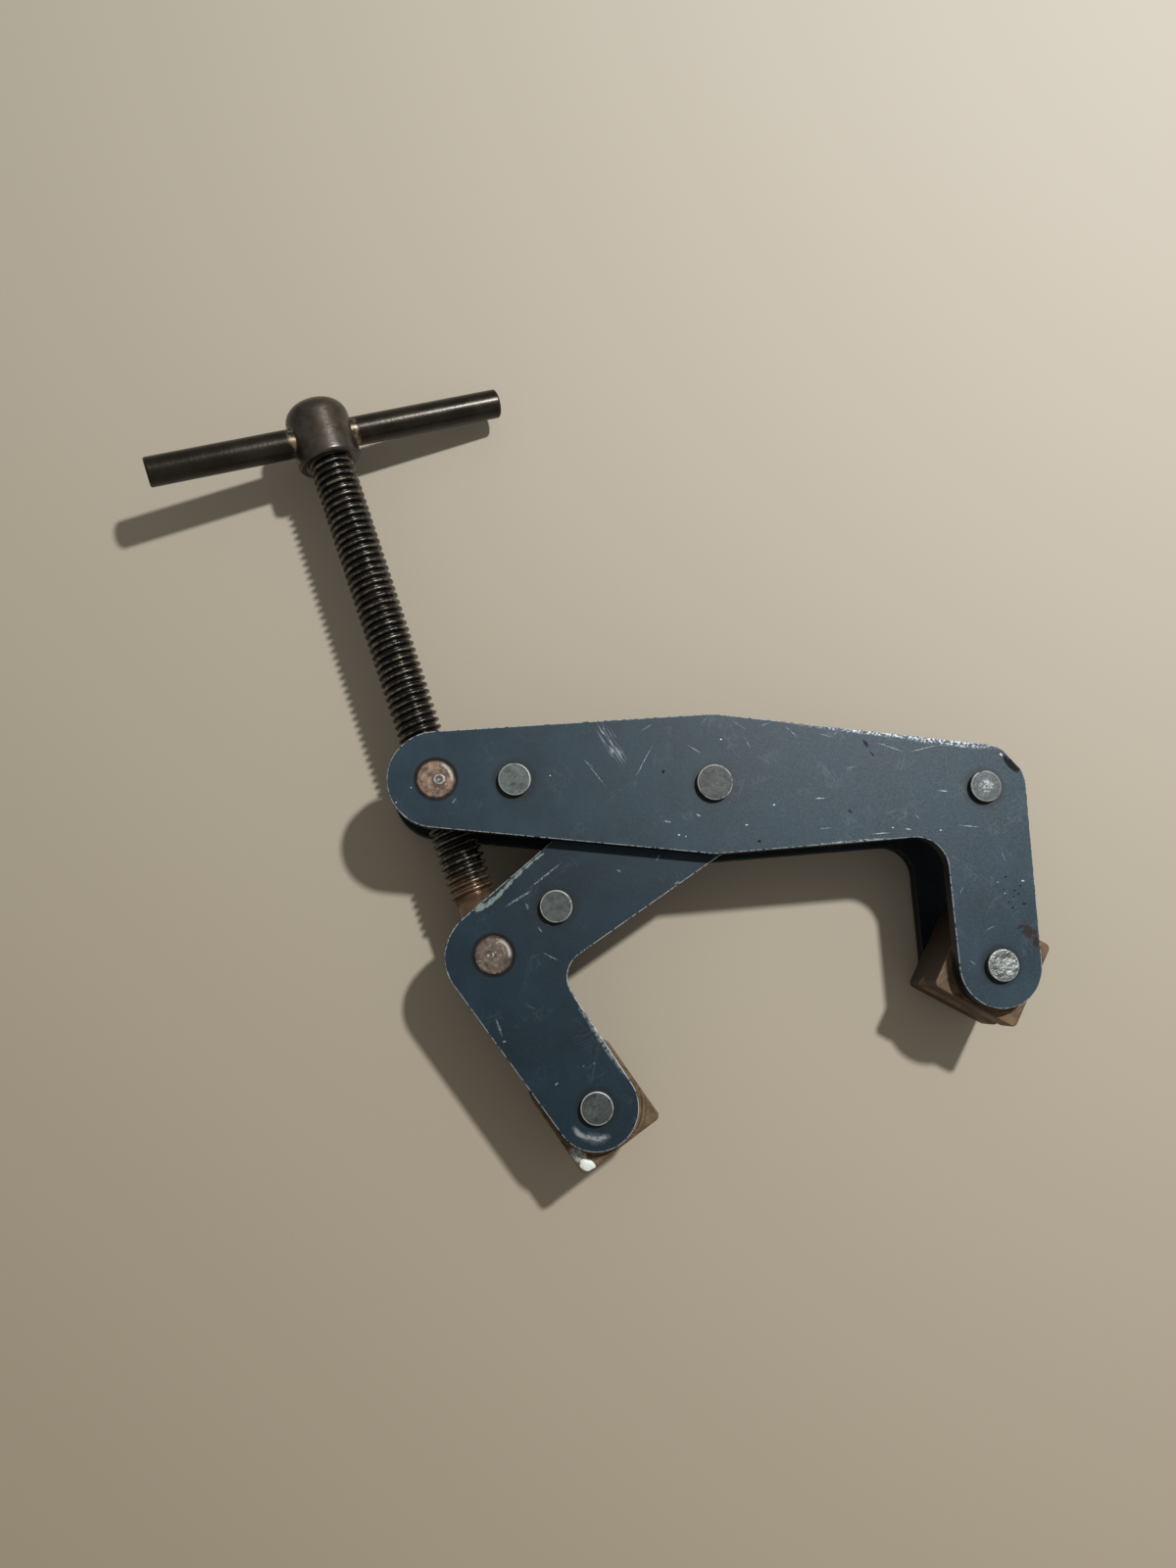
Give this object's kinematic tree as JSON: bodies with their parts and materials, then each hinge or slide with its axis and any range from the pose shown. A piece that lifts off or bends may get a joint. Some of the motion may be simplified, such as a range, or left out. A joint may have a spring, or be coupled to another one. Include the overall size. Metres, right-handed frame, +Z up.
{
  "type": "machinist clamp",
  "caption": "Cantilever clamp with riveted plate jaws, swivelling square pads, and a tee-handled screw through two cross trunnions that closes the jaws.",
  "frame": {"origin": "under the middle of the clamp's bounding box, on the surface that it lies on", "axes": "+Z up through the jaw plates, along every rivet; +X along the fixed jaw's arm, from the screw's end towards its jaw"},
  "size_m": [0.1903, 0.1705, 0.0256],
  "materials": {
    "outer_lacquer": "worn blue-grey lacquer with bare silvery edges",
    "inner_lacquer": "worn darker blue lacquer",
    "rivet_steel": "dull, with bright rims",
    "browned_screw": "oiled dark brown",
    "browned_bar": "worn purplish brown",
    "copper_plating": "dulled copper plating"
  },
  "bodies": {
    "fixed_jaw": {"outer_plate_top": "outer_lacquer", "outer_plate_bottom": "outer_lacquer", "pivot_rivet": "rivet_steel", "outer_arm_rivet": "rivet_steel", "outer_arm_spacer": "rivet_steel", "outer_corner_rivet": "rivet_steel", "outer_corner_spacer": "rivet_steel", "outer_pad_rivet": "rivet_steel", "pivot_washer_top": "rivet_steel", "pivot_washer_bottom": "rivet_steel", "pad_washer_top": "rivet_steel", "pad_washer_bottom": "rivet_steel"},
    "swing_jaw": {"inner_plate_top": "inner_lacquer", "inner_plate_bottom": "inner_lacquer", "inner_arm_rivet": "rivet_steel", "inner_arm_spacer": "rivet_steel", "inner_pad_rivet": "rivet_steel", "pivot_spacer": "rivet_steel"},
    "nut": {"nut_trunnion": "copper_plating"},
    "swivel": {"swivel_trunnion": "copper_plating"},
    "screw": {"clamp_screw": "browned_screw", "tee_bar": "browned_bar", "retaining_ring": "rivet_steel"},
    "fixed_pad": {"outer_pad": "copper_plating"},
    "swing_pad": {"inner_pad": "copper_plating"}
  },
  "joints": [
    {"name": "jaw_swing", "type": "hinge", "parent": "fixed_jaw", "child": "swing_jaw", "pos_m": [0.02398, -0.00785, 0.01279], "axis": [0, 0, 1], "range_deg": [-14.1, 56.5]},
    {"name": "nut_tilt", "type": "hinge", "parent": "fixed_jaw", "child": "nut", "pos_m": [-0.03252, -0.00785, 0.01279], "axis": [0, 0, 1], "range_deg": [-7.1, 28.3]},
    {"name": "swivel_tilt", "type": "hinge", "parent": "swing_jaw", "child": "swivel", "pos_m": [-0.02048, -0.04271, 0.01279], "axis": [0, 0, 1], "range_deg": [-28.3, 7.1]},
    {"name": "screw_spin", "type": "hinge", "parent": "swivel", "child": "screw", "pos_m": [-0.02048, -0.04271, 0.01279], "axis": [0.3264, -0.9452, 0], "range_deg": [-2678.2, 10789.3]},
    {"name": "fixed_pad_turn", "type": "hinge", "parent": "fixed_jaw", "child": "fixed_pad", "pos_m": [0.08273, -0.0447, 0.01279], "axis": [0, 0, 1], "continuous": true},
    {"name": "swing_pad_turn", "type": "hinge", "parent": "swing_jaw", "child": "swing_pad", "pos_m": [0.00006, -0.07248, 0.01279], "axis": [0, 0, 1], "continuous": true}
  ],
  "couplings": [
    {"joint": "jaw_swing", "follows": "screw_spin", "ratio": 0.0052274},
    {"joint": "nut_tilt", "follows": "screw_spin", "ratio": 0.0026137},
    {"joint": "swivel_tilt", "follows": "screw_spin", "ratio": -0.0026137}
  ]
}
